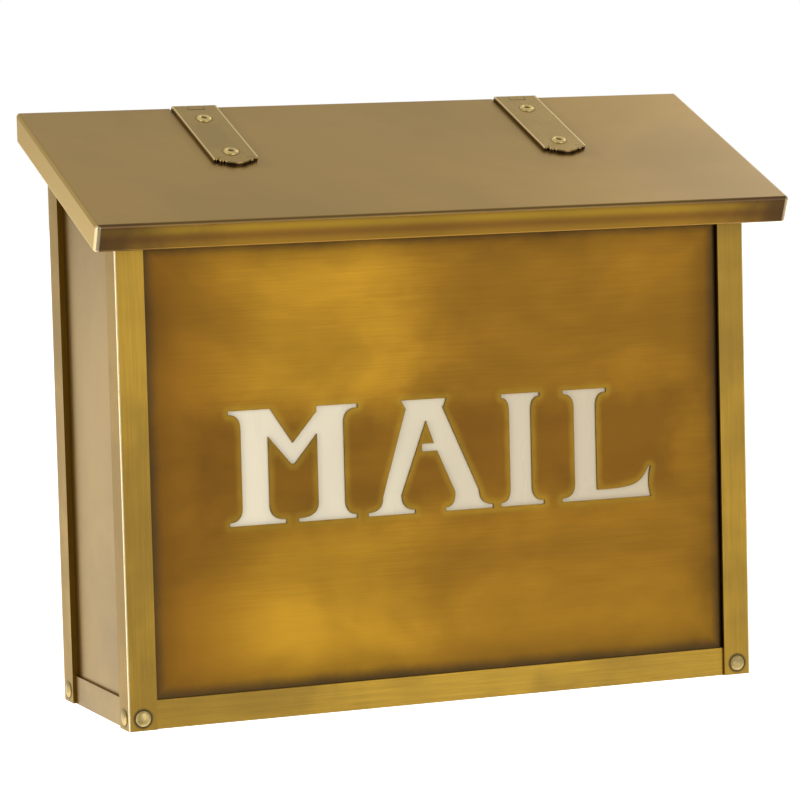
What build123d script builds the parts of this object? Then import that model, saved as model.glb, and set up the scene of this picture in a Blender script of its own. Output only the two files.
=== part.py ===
"""Wall mounted mailbox: a riveted brass angle frame with sheet panels, a glazed stencil
front and a sloping lid on two strap hinges.

Millimetres. X runs to the right, Y into the wall, Z up. The origin is the centre of the
four wall screws, on the face that meets the wall.
"""

import os
from math import cos, hypot, radians, sin, tan

from build123d import *

os.makedirs("parts", exist_ok=True)

# ---- Overall sizes ----
body_width = 360.0  # across the corner posts
body_depth = 113.6  # wall face to the front faces of the posts
lid_front_height = 263.2  # bottom of the posts to the lid's top front edge
lid_slope = 22.3  # degrees
screw_height = 165.0  # bottom of the posts to the centre of the wall screws

# ---- Wall screws ----
screw_spacing_x = 254.0
screw_spacing_z = 150.0
screw_hole_radius = 2.75

# ---- Frame: corner posts and rails ----
angle_leg = 15.5
angle_thickness = 1.6
angle_corner_radius = 0.7
bottom_rail_height = 15.2
top_rail_height = 12.0
rear_top_rail_height = 20.0
packing_width = 10.2

# ---- Sheets ----
panel_thickness = 1.0
back_thickness = 1.5

# ---- Lid ----
lid_thickness = 1.2
lid_front_overhang = 24.3
lid_side_overhang = 16.5
lid_flange = 14.7
lid_bend_radius = 2.0
lid_hem = 5.0  # height of the folded edge at the bottom of the flanges
lid_edge_radius = 1.1  # of the fold itself
lid_seat_gap = 0.3  # between the closed lid and the body
lid_wall_gap = 1.5  # between the lid's rear edge and the wall

# ---- Strap hinges ----
hinge_spacing = 191.2  # centre to centre
hinge_offset = -1.4  # the pair sits a little to the left of the middle
hinge_width = 25.4
strap_thickness = 2.0
strap_length = 68.1  # hinge axis to the shoulders of the scalloped tip
strap_heel = 2.6  # strap behind the hinge axis
strap_tip_rise = 7.0  # shoulders to the end of the tip
strap_tip_shoulder = 4.2  # shoulders to the ends of the tip's middle arc
strap_tip_inset = 6.0  # side of the strap to the ends of the middle arc
strap_lobes = ((1.6, 0.2, 1.6), (4.7, 2.0, 1.9))  # in from the side, past the shoulder, radius
leaf_thickness = 1.6
leaf_height = 18.0
pin_radius = 1.5
pin_end_radius = 0.5
running_clearance = 0.05
knuckle_width = 8.8
knuckle_gap = 0.3  # beside the centre knuckle, and around every barrel
lid_notch_gap = 0.5

# ---- Rivets ----
rivet_inset = 7.75  # from a corner of the body to the rivet's centre
rivet_height = 6.4  # bottom of the posts to the lower rivets
top_rivet_drop = 6.0  # edge of the body to the upper rivets
shank_radius = 2.0
head_radius = 4.1
head_height = 1.3
head_rim = 0.25
tail_radius = 2.8
tail_height = 0.6
sunk_radius = 3.2
sunk_depth = 1.1
strap_head_radius = 4.0
strap_head_height = 1.2
strap_pit_radius = 1.3
strap_pit_depth = 0.9
strap_rivet_reaches = (15.3, 60.5)  # from the hinge axis
leaf_rivet_spacing = 13.0

# ---- Letters and their glass ----
letter_base = 102.3  # bottom of the posts to the foot of the letters
letter_height = 60.6
serif_rise = 10.0
serif_tip = 2.0
bridge_width = 1.9  # metal left between the crossbar of the A and its thin leg
glass_width = 264.0
glass_margin = 8.0  # above and below the letters
glass_thickness = 3.0
clip_width = 11.0
clip_thickness = 0.8
clip_foot = 9.0
clip_lip = 4.0
clip_clearance = 0.05
clip_spacing = 92.0

# ---- Worked out from the sizes above ----
half_width = body_width / 2
base_z = -screw_height
front_y = -body_depth
slope = radians(lid_slope)
lid_front_y = front_y - lid_front_overhang
lid_half_width = half_width + lid_side_overhang
lid_plane = Plane(
    origin=(0, lid_front_y, base_z + lid_front_height),
    x_dir=(1, 0, 0),
    z_dir=(0, -sin(slope), cos(slope)),
)
lid_normal = Axis(lid_plane.origin, lid_plane.z_dir)
lid_seat = lid_plane.offset(-(lid_thickness + lid_seat_gap))

strap_bore_radius = pin_radius + running_clearance
strap_barrel_radius = strap_bore_radius + strap_thickness
leaf_barrel_radius = pin_radius + leaf_thickness
axis_y = -(back_thickness + leaf_thickness + pin_radius)
axis_along_lid = (axis_y - lid_front_y - strap_bore_radius * sin(slope)) / cos(slope)
axis_z = (
    base_z
    + lid_front_height
    + axis_along_lid * sin(slope)
    - strap_bore_radius * cos(slope)
)
lid_tail = (-lid_wall_gap - axis_y + strap_bore_radius * sin(slope)) / cos(slope)
swing_radius = max(
    hypot(lid_tail, strap_bore_radius),
    hypot(strap_heel, strap_bore_radius + strap_thickness),
)
rear_top_z = axis_z - swing_radius - knuckle_gap
hinge_xs = {"left": hinge_offset - hinge_spacing / 2, "right": hinge_offset + hinge_spacing / 2}

# The rails stand behind the posts, and the panels stand behind the rails.
ring_x = half_width - angle_thickness
ring_front = front_y + angle_thickness
ring_rear = -(back_thickness + angle_thickness)
panel_x = ring_x - angle_thickness
panel_front = ring_front + angle_thickness
panel_rear = ring_rear - angle_thickness
floor_z = base_z + angle_thickness
inner_x = panel_x - panel_thickness
inner_front = panel_front + panel_thickness

stock_height = rear_top_z - base_z  # taller than any piece that the lid's slope trims


def lid_seat_z(y):
    """Height of the body's sloping top edge at a distance y from the wall."""
    drop = (lid_thickness + lid_seat_gap) / cos(slope)
    return base_z + lid_front_height + (y - lid_front_y) * tan(slope) - drop


def trim_under_lid():
    """Cut the piece being built to the body's top: the lid's slope."""
    split(bisect_by=lid_seat, keep=Keep.BOTTOM)


def ring_strip(side, depth):
    """Plan outline of one mitred side of the ring that the rails form."""
    outer = [(-ring_x, ring_front), (ring_x, ring_front), (ring_x, ring_rear), (-ring_x, ring_rear)]
    inner = [
        (-ring_x + depth, ring_front + depth),
        (ring_x - depth, ring_front + depth),
        (ring_x - depth, ring_rear - depth),
        (-ring_x + depth, ring_rear - depth),
    ]
    after = (side + 1) % len(outer)
    return [outer[side], outer[after], inner[after], inner[side]]


def finish(builder, name):
    """Label a finished piece and write its file."""
    builder.part.label = name
    export_step(builder.part, f"parts/{name}.step")


# ---- Rivets: each stands on Z with the underside of its head at the origin ----


def domed_rivet(grip, radius, height, pit_radius, pit_depth):
    """Rivet with a low domed head, which may be hollow, and a flat tail below the grip."""
    with BuildPart() as rivet:
        with BuildSketch(Plane.XZ):
            with BuildLine():
                shank = Polyline(
                    (pit_radius, height - pit_depth),
                    (0, height - pit_depth),
                    (0, -grip - tail_height),
                    (tail_radius, -grip - tail_height),
                    (tail_radius, -grip),
                    (shank_radius, -grip),
                    (shank_radius, 0),
                    (radius, 0),
                    (radius, head_rim),
                )
                crown = Bezier(shank @ 1, (radius * 0.8, height), (pit_radius, height))
                Line(crown @ 1, shank @ 0)
            make_face()
        revolve(axis=Axis.Z)
    return rivet.part


def solid_rivet(grip):
    """Frame rivet: low domed head, flat tail."""
    with BuildPart() as rivet:
        with BuildSketch(Plane.XZ):
            with BuildLine():
                shank = Polyline(
                    (0, head_height),
                    (0, -grip - tail_height),
                    (tail_radius, -grip - tail_height),
                    (tail_radius, -grip),
                    (shank_radius, -grip),
                    (shank_radius, 0),
                    (head_radius, 0),
                    (head_radius, head_rim),
                )
                Bezier(shank @ 1, (head_radius * 0.75, head_height), shank @ 0)
            make_face()
        revolve(axis=Axis.Z)
    return rivet.part


def sunk_rivet(grip):
    """Rivet that is flush on the wall side, with a flat tail inside the box."""
    with BuildPart() as rivet:
        with BuildSketch(Plane.XZ):
            with BuildLine():
                Polyline(
                    (0, 0),
                    (0, -grip - tail_height),
                    (tail_radius, -grip - tail_height),
                    (tail_radius, -grip),
                    (shank_radius, -grip),
                    (shank_radius, -sunk_depth),
                    (sunk_radius, 0),
                    close=True,
                )
            make_face()
        revolve(axis=Axis.Z)
    return rivet.part


corner_rivet = solid_rivet(2 * angle_thickness + panel_thickness)
rear_rivet = sunk_rivet(back_thickness + 2 * angle_thickness)
leaf_rivet = sunk_rivet(back_thickness + leaf_thickness + angle_thickness)
strap_rivet = domed_rivet(
    strap_thickness + lid_thickness,
    strap_head_radius,
    strap_head_height,
    strap_pit_radius,
    strap_pit_depth,
)

# Rivet places are planes: origin under the head, Z out of the metal.
rivet_x = half_width - rivet_inset
rivet_z = base_z + rivet_height
front_rivet_y = front_y + rivet_inset
rear_rivet_y = -rivet_inset
top_front_rivet_z = lid_seat_z(front_y) - top_rivet_drop
top_side_front_rivet_z = lid_seat_z(front_rivet_y) - top_rivet_drop
top_rear_rivet_z = rear_top_z - top_rivet_drop

front_rivet_places = [
    Plane(origin=(x, front_y, z), x_dir=(1, 0, 0), z_dir=(0, -1, 0))
    for x in (-rivet_x, rivet_x)
    for z in (rivet_z, top_front_rivet_z)
]
side_rivet_places = {
    side: [
        Plane(origin=(out * half_width, y, z), x_dir=(0, 1, 0), z_dir=(out, 0, 0))
        for y, z in (
            (front_rivet_y, rivet_z),
            (rear_rivet_y, rivet_z),
            (front_rivet_y, top_side_front_rivet_z),
            (rear_rivet_y, top_rear_rivet_z),
        )
    ]
    for side, out in (("left", -1), ("right", 1))
}
rear_rivet_places = [
    Plane(origin=(x, 0, z), x_dir=(1, 0, 0), z_dir=(0, 1, 0))
    for x in (-rivet_x, rivet_x)
    for z in (rivet_z, top_rear_rivet_z)
]
leaf_rivet_places = {
    side: [
        Plane(origin=(x + step * leaf_rivet_spacing / 2, 0, rear_top_z - leaf_height / 2),
              x_dir=(1, 0, 0), z_dir=(0, 1, 0))
        for step in (-1, 1)
    ]
    for side, x in hinge_xs.items()
}
strap_rivet_places = {
    side: [
        Plane(lid_plane.location * Location((x, axis_along_lid - reach, strap_thickness)))
        for reach in strap_rivet_reaches
    ]
    for side, x in hinge_xs.items()
}


def rivet_frame_holes():
    """Cut the frame's rivet holes in the post, rail, panel or plate being built."""
    with Locations(*front_rivet_places, *side_rivet_places["left"], *side_rivet_places["right"]):
        add(corner_rivet, mode=Mode.SUBTRACT)
    with Locations(*rear_rivet_places):
        add(rear_rivet, mode=Mode.SUBTRACT)


def rivet_leaf_holes():
    """Cut the holes for both hinge leaves in the plate, rail or leaf being built."""
    with Locations(*leaf_rivet_places["left"], *leaf_rivet_places["right"]):
        add(leaf_rivet, mode=Mode.SUBTRACT)


# ---- Back plate ----
with BuildPart() as back_plate:
    with BuildSketch(Plane.XZ):
        with Locations((0, base_z)):
            Rectangle(body_width, rear_top_z - base_z, align=(Align.CENTER, Align.MIN))
        with GridLocations(screw_spacing_x, screw_spacing_z, 2, 2):
            Circle(screw_hole_radius, mode=Mode.SUBTRACT)
    extrude(amount=back_thickness)
    rivet_frame_holes()
    rivet_leaf_holes()
finish(back_plate, "back_plate")

# ---- Corner posts ----
for side, out in (("left", -1), ("right", 1)):
    for end, corner_y, side_leg in (
        ("front", front_y, angle_leg),
        ("rear", -back_thickness, angle_leg - back_thickness),
    ):
        across = Align.MIN if out < 0 else Align.MAX
        along = Align.MIN if end == "front" else Align.MAX
        with BuildPart() as post:
            with BuildSketch(Plane.XY.offset(base_z)):
                with Locations((out * half_width, corner_y)):
                    Rectangle(angle_leg, angle_thickness, align=(across, along))
                    Rectangle(angle_thickness, side_leg, align=(across, along))
                outer_corner = vertices().sort_by_distance((out * half_width, corner_y, base_z))[0]
                if end == "front":
                    fillet(outer_corner, angle_corner_radius)
            extrude(amount=stock_height)
            trim_under_lid()
            rivet_frame_holes()
        finish(post, f"{end}_{side}_post")

# ---- Bottom rails: angles with mitred ends, the flat leg inwards ----
for number, side in enumerate(("front", "right", "rear", "left")):
    with BuildPart() as rail:
        with BuildSketch(Plane.XY.offset(base_z)):
            with BuildLine():
                Polyline(*ring_strip(number, angle_leg), close=True)
            make_face()
        extrude(amount=angle_thickness)
        with BuildSketch(Plane.XY.offset(base_z)):
            with BuildLine():
                Polyline(*ring_strip(number, angle_thickness), close=True)
            make_face()
        extrude(amount=bottom_rail_height)
        rivet_frame_holes()
    finish(rail, f"{side}_bottom_rail")

# ---- Top rails: flat bars under the lid ----
top_rail_bottoms = {
    "front": Plane.XY.offset(lid_seat_z(ring_front) - top_rail_height),
    "right": lid_seat.offset(-top_rail_height * cos(slope)),
    "rear": Plane.XY.offset(rear_top_z - rear_top_rail_height),
    "left": lid_seat.offset(-top_rail_height * cos(slope)),
}
for number, (side, bottom) in enumerate(top_rail_bottoms.items()):
    with BuildPart() as rail:
        with BuildSketch(Plane.XY.offset(base_z)):
            with BuildLine():
                Polyline(*ring_strip(number, angle_thickness), close=True)
            make_face()
        extrude(amount=stock_height)
        trim_under_lid()
        split(bisect_by=bottom, keep=Keep.TOP)
        rivet_frame_holes()
        rivet_leaf_holes()
    finish(rail, f"{side}_top_rail")

# ---- Floor and side panels ----
with BuildPart() as floor_panel:
    with BuildSketch(Plane.XY.offset(floor_z)):
        with Locations((0, inner_front)):
            Rectangle(2 * inner_x, panel_rear - inner_front, align=(Align.CENTER, Align.MIN))
    extrude(amount=panel_thickness)
finish(floor_panel, "floor_panel")

for side, out in (("left", -1), ("right", 1)):
    with BuildPart() as side_panel:
        with BuildSketch(Plane.XY.offset(floor_z)):
            with Locations((out * panel_x, inner_front)):
                Rectangle(
                    panel_thickness,
                    panel_rear - inner_front,
                    align=(Align.MIN if out < 0 else Align.MAX, Align.MIN),
                )
        extrude(amount=rear_top_z - floor_z)
        trim_under_lid()
        rivet_frame_holes()
    finish(side_panel, f"{side}_panel")


# Strips that pack the space between the rear posts and the side panels, between the rails.
with BuildPart() as rear_packing_strips:
    with BuildSketch(Plane.XY.offset(base_z + bottom_rail_height)):
        for out, align in ((-1, Align.MAX), (1, Align.MIN)):
            with Locations((out * panel_x, panel_rear)):
                Rectangle(angle_thickness, packing_width, align=(align, Align.MAX))
    extrude(amount=rear_top_z - rear_top_rail_height - base_z - bottom_rail_height)
finish(rear_packing_strips, "rear_packing_strips")


# ---- Letters: wedge serif capitals, cut so that no metal falls out ----


def outline(*points):
    """Add a straight sided shape, its points given above the foot of the letters."""
    Polygon(*points, align=None)


def serif(left, right, reach_left, reach_right, foot=True):
    """Add a bracketed wedge to the foot or the head of a stroke."""
    edge, rise, tip = (0, serif_rise, serif_tip)
    if not foot:
        edge, rise, tip = (letter_height, letter_height - serif_rise, letter_height - serif_tip)
    with BuildLine() as wedge:
        flat = Polyline(
            (left - reach_left, tip), (left - reach_left, edge),
            (right + reach_right, edge), (right + reach_right, tip),
        )
        rising = Bezier(flat @ 1, (right, tip), (right, rise))
        across = Line(rising @ 1, (left, rise))
        Bezier(across @ 1, (left, tip), flat @ 0)
    make_face(wedge.edges())


def stroke(left, right):
    """Add an upright stroke of full height."""
    outline((left, 0), (right, 0), (right, letter_height), (left, letter_height))


def letter_m():
    """Two stems and a V that stops halfway down."""
    stem = 15.2
    left, right = -113.2, -70.7
    centre = (left + stem + right) / 2
    crotch, shoulder, point = 42.0, 46.0, 31.0
    for x, reach_left, reach_right in ((left, 7.2, 9.2), (right, 11.2, 6.6)):
        stroke(x, x + stem)
        serif(x, x + stem, reach_left, reach_right)
    serif(left, left + stem, 6.6, 1.5, foot=False)
    serif(right, right + stem, -1.5, 8.0, foot=False)
    outline(
        (left + stem / 2, letter_height), (left + stem + 1.5, letter_height), (centre, crotch),
        (right + 2.5, letter_height), (right + stem / 2, letter_height),
        (right + stem / 2, shoulder), (right, shoulder),
        (centre + 1.0, point), (centre - 1.0, point),
        (left + stem, shoulder), (left + stem / 2, shoulder),
    )


def letter_a():
    """A thin and a thick leg under a flat head, with a crossbar from the thick leg."""
    head_left, head_right = -22.6, 3.4
    apex = (-8.6, 49.0)
    thin_foot, thick_foot = (-34.2, -23.4), (7.4, 21.4)
    bar_top, bar_bottom = 36.9, 32.7
    outline((head_left + 3.0, letter_height - 3.0), (head_left + 11.0, letter_height), apex,
            (thin_foot[1], serif_rise), (thin_foot[0], serif_rise))
    outline((head_left + 11.0, letter_height), (head_right - 3.0, letter_height - 3.0),
            (thick_foot[1], serif_rise), (thick_foot[0], serif_rise), (-4.6, bar_top + 0.6), apex)
    outline((head_left + 3.0, letter_height), (head_right - 3.0, letter_height),
            (head_right - 3.0, letter_height - 6.0), (-1.6, letter_height - 14.0), apex,
            (head_left + 3.0, letter_height - 8.0))
    outline((head_left, letter_height), (head_right, letter_height),
            (head_right - 1.6, letter_height - 4.5), (head_left + 2.4, letter_height - 4.5))
    serif(thin_foot[0], thin_foot[1], 8.4, 7.6)
    serif(thick_foot[0], thick_foot[1], 5.6, 8.0)
    thin_edge = apex[0] + (thin_foot[1] - apex[0]) * (apex[1] - bar_top) / (apex[1] - serif_rise)
    bar_left = thin_edge + bridge_width
    outline((bar_left, bar_top), (-3.0, bar_top), (1.6, 26.5), (-2.6, bar_bottom), (bar_left, bar_bottom))


def letter_i():
    """One stem."""
    left, right = 39.6, 52.4
    stroke(left, right)
    serif(left, right, 5.6, 7.0)
    serif(left, right, 4.4, 5.2, foot=False)


def letter_l():
    """A stem and an arm whose tip turns up."""
    left, right = 77.7, 90.8
    arm_end, arm_top, arm_rise = 123.2, 5.4, 16.5
    stroke(left, right)
    serif(left, right, 7.6, 2.0)
    serif(left, right, 6.4, 6.2, foot=False)
    with BuildLine() as arm:
        foot = Polyline((right, arm_top), (left, arm_top), (left, 0), (arm_end, 0))
        tip = Bezier(foot @ 1, (arm_end - 2.6, arm_rise / 2), (arm_end, arm_rise))
        under = Line(tip @ 1, (arm_end - 1.4, arm_rise))
        Bezier(under @ 1, (arm_end - 6.0, arm_top), (arm_end - 14.0, arm_top), foot @ 0)
    make_face(arm.edges())


# ---- Front panel ----
with BuildPart() as front_panel:
    with BuildSketch(Plane.XY.offset(floor_z)):
        with Locations((0, panel_front)):
            Rectangle(2 * panel_x, panel_thickness, align=(Align.CENTER, Align.MIN))
    extrude(amount=rear_top_z - floor_z)
    trim_under_lid()
    rivet_frame_holes()
    letter_plane = Plane(
        origin=(0, panel_front, base_z + letter_base), x_dir=(1, 0, 0), z_dir=(0, -1, 0)
    )
    with BuildSketch(letter_plane):
        letter_m()
        letter_a()
        letter_i()
        letter_l()
    extrude(amount=-panel_thickness, mode=Mode.SUBTRACT)
finish(front_panel, "front_panel")

# ---- Glass behind the letters, and the clips that hold it ----
glass_bottom = base_z + letter_base - glass_margin
glass_height = letter_height + 2 * glass_margin
glass_top = glass_bottom + glass_height

with BuildPart() as letter_glass:
    with BuildSketch(Plane.XZ.offset(-inner_front)):
        with Locations((0, glass_bottom)):
            Rectangle(glass_width, glass_height, align=(Align.CENTER, Align.MIN))
    extrude(amount=-glass_thickness)
    chamfer(edges().filter_by(Axis.Y), panel_thickness)
finish(letter_glass, "letter_glass")

riser = glass_thickness + clip_clearance
with BuildPart() as glass_clips:
    with BuildSketch(Plane.YZ):
        for edge, away in ((glass_bottom, -1), (glass_top, 1)):
            root = edge + away * clip_clearance
            with BuildLine():
                Polyline(
                    (inner_front, root),
                    (inner_front, root + away * clip_foot),
                    (inner_front + clip_thickness, root + away * clip_foot),
                    (inner_front + clip_thickness, root + away * clip_thickness),
                    (inner_front + riser + clip_thickness, root + away * clip_thickness),
                    (inner_front + riser + clip_thickness, root - away * clip_lip),
                    (inner_front + riser, root - away * clip_lip),
                    (inner_front + riser, root),
                    close=True,
                )
            make_face()
    extrude(amount=clip_spacing + clip_width / 2, both=True)
    for step in (-1, 1):
        with Locations((step * clip_spacing / 2, inner_front, (glass_bottom + glass_top) / 2)):
            Box(clip_spacing - clip_width, body_depth, glass_height * 2, mode=Mode.SUBTRACT)
finish(glass_clips, "glass_clips")

# ---- Frame rivets ----
with BuildPart() as front_corner_rivets:
    with Locations(*front_rivet_places):
        add(corner_rivet)
finish(front_corner_rivets, "front_corner_rivets")

for side in ("left", "right"):
    with BuildPart() as corner_rivets:
        with Locations(*side_rivet_places[side]):
            add(corner_rivet)
    finish(corner_rivets, f"{side}_corner_rivets")

with BuildPart() as rear_frame_rivets:
    with Locations(*rear_rivet_places):
        add(rear_rivet)
finish(rear_frame_rivets, "rear_frame_rivets")

# ---- Hinge leaves, pins and their rivets: they stay with the body ----
for side, x in hinge_xs.items():
    with BuildPart() as leaf:
        with BuildSketch(Plane.XZ.offset(back_thickness)):
            with Locations((x, rear_top_z)):
                Rectangle(hinge_width, leaf_height, align=(Align.CENTER, Align.MAX))
        extrude(amount=leaf_thickness)
        rivet_leaf_holes()
        with BuildSketch(Plane.YZ.offset(x)):
            with Locations((-back_thickness, axis_z)):
                Rectangle(leaf_thickness, axis_z - rear_top_z, align=(Align.MAX, Align.MAX))
            with Locations((axis_y, axis_z)):
                Circle(leaf_barrel_radius)
                Rectangle(
                    2 * strap_heel,
                    strap_barrel_radius,
                    rotation=lid_slope,
                    align=(Align.CENTER, Align.MIN),
                )
                Circle(pin_radius, mode=Mode.SUBTRACT)
        extrude(amount=knuckle_width / 2, both=True)
    finish(leaf, f"{side}_hinge_leaf")

    with BuildPart() as pin:
        with BuildSketch(Plane.YZ.offset(x - hinge_width / 2)):
            with Locations((axis_y, axis_z)):
                Circle(pin_radius)
        extrude(amount=hinge_width)
        chamfer(edges().filter_by(GeomType.CIRCLE), pin_end_radius)
    finish(pin, f"{side}_hinge_pin")

    with BuildPart() as leaf_rivets:
        with Locations(*leaf_rivet_places[side]):
            add(leaf_rivet)
    finish(leaf_rivets, f"{side}_leaf_rivets")

# ---- Lid: a bent sheet, open at the rear ----
lid_length = (body_depth + lid_front_overhang) / cos(slope) + lid_flange

with BuildPart() as lid_shell:
    with BuildSketch(lid_plane):
        Rectangle(2 * lid_half_width, lid_length, align=(Align.CENTER, Align.MIN))
    extrude(amount=-lid_flange)
    front_corners = edges().filter_by(lid_normal).sort_by(Axis.Y)[:2]
    fillet(front_corners, lid_bend_radius)
    for face, radius in ((-1, lid_bend_radius), (0, lid_edge_radius)):
        rim = faces().sort_by(lid_normal)[face].edges()
        fillet(rim.sort_by(Axis.Y)[:-1], radius)
    for depth, side_inset in ((lid_flange - lid_hem, lid_thickness), (lid_flange, 2 * lid_thickness)):
        with BuildSketch(lid_plane.offset(-lid_thickness)):
            with Locations((0, side_inset)):
                Rectangle(
                    2 * (lid_half_width - side_inset), lid_length, align=(Align.CENTER, Align.MIN)
                )
        extrude(amount=-(depth - lid_thickness), mode=Mode.SUBTRACT)
    split(bisect_by=Plane.XZ.offset(lid_wall_gap), keep=Keep.TOP)
    for x in hinge_xs.values():
        with BuildSketch(lid_plane):
            with Locations((x, axis_along_lid - swing_radius - knuckle_gap)):
                Rectangle(
                    hinge_width + 2 * lid_notch_gap, lid_flange, align=(Align.CENTER, Align.MIN)
                )
        extrude(amount=-2 * lid_thickness, mode=Mode.SUBTRACT)
    with Locations(*strap_rivet_places["left"], *strap_rivet_places["right"]):
        add(strap_rivet, mode=Mode.SUBTRACT)
finish(lid_shell, "lid_shell")

# ---- Hinge straps and their rivets: they move with the lid ----
barrel_width = (hinge_width - knuckle_width) / 2 - knuckle_gap
for side, x in hinge_xs.items():
    with BuildPart() as strap:
        with BuildSketch(lid_plane):
            shoulder = axis_along_lid - strap_length
            with Locations((x, shoulder)):
                Rectangle(
                    hinge_width, strap_length + strap_heel, align=(Align.CENTER, Align.MIN)
                )
            for out in (-1, 1):
                for aside, past, radius in strap_lobes:
                    with Locations((x + out * (hinge_width / 2 - aside), shoulder - past)):
                        Circle(radius)
            half_tip = hinge_width / 2 - strap_tip_inset
            with BuildLine():
                tip = ThreePointArc(
                    (x - half_tip, shoulder - strap_tip_shoulder),
                    (x, shoulder - strap_tip_rise),
                    (x + half_tip, shoulder - strap_tip_shoulder),
                )
                Polyline(tip @ 1, (x + half_tip, shoulder), (x - half_tip, shoulder), tip @ 0)
            make_face()
        extrude(amount=strap_thickness)
        with BuildSketch(Plane.YZ.offset(x)):
            with Locations((axis_y, axis_z)):
                Circle(swing_radius + knuckle_gap)
        extrude(amount=knuckle_width / 2 + knuckle_gap, both=True, mode=Mode.SUBTRACT)
        with Locations(*strap_rivet_places[side]):
            add(strap_rivet, mode=Mode.SUBTRACT)
        for step in (-1, 1):
            start = x + step * hinge_width / 2 - (barrel_width if step > 0 else 0)
            with BuildSketch(Plane.YZ.offset(start)):
                with Locations((axis_y, axis_z)):
                    Circle(strap_barrel_radius)
            extrude(amount=barrel_width)
        with BuildSketch(Plane.YZ.offset(x - hinge_width / 2)):
            with Locations((axis_y, axis_z)):
                Circle(strap_bore_radius)
        extrude(amount=hinge_width, mode=Mode.SUBTRACT)
    finish(strap, f"{side}_hinge_strap")

    with BuildPart() as strap_rivets:
        with Locations(*strap_rivet_places[side]):
            add(strap_rivet)
    finish(strap_rivets, f"{side}_strap_rivets")
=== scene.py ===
"""Wall mounted mailbox in aged brass: riveted angle frame, glazed front and strap hinged lid."""

from math import cos, pi, radians, sin

import bmesh
import bpy
from bpy.props import FloatProperty, FloatVectorProperty, PointerProperty
from mathutils import Matrix, Vector, kdtree


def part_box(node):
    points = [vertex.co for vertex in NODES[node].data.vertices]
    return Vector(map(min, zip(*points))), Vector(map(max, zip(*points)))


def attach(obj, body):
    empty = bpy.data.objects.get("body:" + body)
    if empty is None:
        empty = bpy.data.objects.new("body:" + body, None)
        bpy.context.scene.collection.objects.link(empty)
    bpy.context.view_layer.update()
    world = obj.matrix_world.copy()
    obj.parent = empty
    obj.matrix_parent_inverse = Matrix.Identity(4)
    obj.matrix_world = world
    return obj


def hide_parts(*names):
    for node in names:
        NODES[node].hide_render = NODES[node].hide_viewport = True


bl_info = {
    "name": "Wall Mailbox",
    "version": (1, 0, 0),
    "blender": (4, 5, 0),
    "location": "3D View > Sidebar > Mailbox",
    "description": "Builds an aged brass wall mailbox around its packed frame",
    "category": "Object",
}

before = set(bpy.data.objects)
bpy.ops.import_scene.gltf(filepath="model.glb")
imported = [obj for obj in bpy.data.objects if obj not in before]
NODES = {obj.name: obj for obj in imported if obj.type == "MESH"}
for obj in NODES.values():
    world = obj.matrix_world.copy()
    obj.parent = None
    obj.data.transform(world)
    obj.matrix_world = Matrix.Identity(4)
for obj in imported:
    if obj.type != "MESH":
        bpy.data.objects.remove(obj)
MM = 0.001

# What the frame's boxes give.
POST_LOW, POST_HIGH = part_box("front_left_post")
POST_INNER = -POST_HIGH.x  # from the middle
BODY_WIDTH = -2 * POST_LOW.x
RAIL_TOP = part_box("front_bottom_rail")[1].z
FRONT_LOW, FRONT_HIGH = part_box("front_panel")
LID_LOW, LID_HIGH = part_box("lid_shell")
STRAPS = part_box("left_hinge_strap"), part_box("right_hinge_strap")

# What the boxes don't show, as in the part's own sizes.
LID_SLOPE = radians(22.3)
LID_TOP = 98.2 * MM  # height of its top front edge
STRAP_FOOT = 69.0 * MM  # up the slope, to the ends of the straps
STRAP_TOP = 2.0 * MM  # above the lid
STRAP_WIDTH = 25.4 * MM
STRAP_RIVET_SPACING = 45.2 * MM
RIVET_INSET = 7.75 * MM  # of the corner rivets, from the edge of the post
RIVET_RISE = 6.4 * MM  # of the lower ones, above the foot of the post
RIVET_RADIUS = 4.1 * MM

PAINTED_HIGHLIGHT = (0.95, 0.80, 0.50)  # painted highlight: brass drawn bright along a corner where it catches the light


# ---- Settings a user would change ----


class MailboxSizes(bpy.types.PropertyGroup):
    """Sizes of the finer pieces."""

    sheet_step: FloatProperty(
        name="Sheet step",
        description="Spacing of the points on the front sheet that carry its patina",
        default=2.6 * MM,
        unit="LENGTH",
    )
    halo_reach: FloatProperty(
        name="Halo reach",
        description="How far the darker ring round the letters spreads",
        default=9.0 * MM,
        unit="LENGTH",
    )
    camera_lens: FloatProperty(
        name="Lens",
        description="Focal length of the stage camera, in millimetres",
        default=166.55,
    )


class MailboxColours(bpy.types.PropertyGroup):
    """Colours of the finishes, as linear values."""

    front_gold: FloatVectorProperty(
        name="Front gold",
        description="Bright brass in the middle of the front sheet",
        default=(0.385, 0.202, 0.013),
        subtype="COLOR",
    )
    front_brown: FloatVectorProperty(
        name="Front brown",
        description="Darker clouds on the front sheet",
        default=(0.195, 0.082, 0.006),
        subtype="COLOR",
    )
    # the nearly black colour also paints the shade along the seams of the front sheet
    patina: FloatVectorProperty(
        name="Patina",
        description="Nearly black patina along seams",
        default=(0.06, 0.034, 0.009),
        subtype="COLOR",
    )
    frame_gold: FloatVectorProperty(
        name="Frame gold",
        description="Posts and rails",
        default=(0.37, 0.215, 0.017),
        subtype="COLOR",
    )
    lid_tan: FloatVectorProperty(
        name="Lid tan",
        description="Smooth satin brass of the lid",
        default=(0.33, 0.197, 0.042),
        subtype="COLOR",
    )
    side_taupe: FloatVectorProperty(
        name="Side taupe",
        description="Side, floor and back sheets",
        default=(0.245, 0.142, 0.031),
        subtype="COLOR",
    )
    rivet_gold: FloatVectorProperty(
        name="Rivet gold",
        description="Rivet heads",
        default=(0.74, 0.55, 0.20),
        subtype="COLOR",
    )
    hinge_bronze: FloatVectorProperty(
        name="Hinge bronze",
        description="Strap hinges",
        default=(0.31, 0.20, 0.046),
        subtype="COLOR",
    )
    glass_cream: FloatVectorProperty(
        name="Glass cream",
        description="Opal glass behind the letters",
        default=(0.86, 0.76, 0.54),
        subtype="COLOR",
    )


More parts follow.
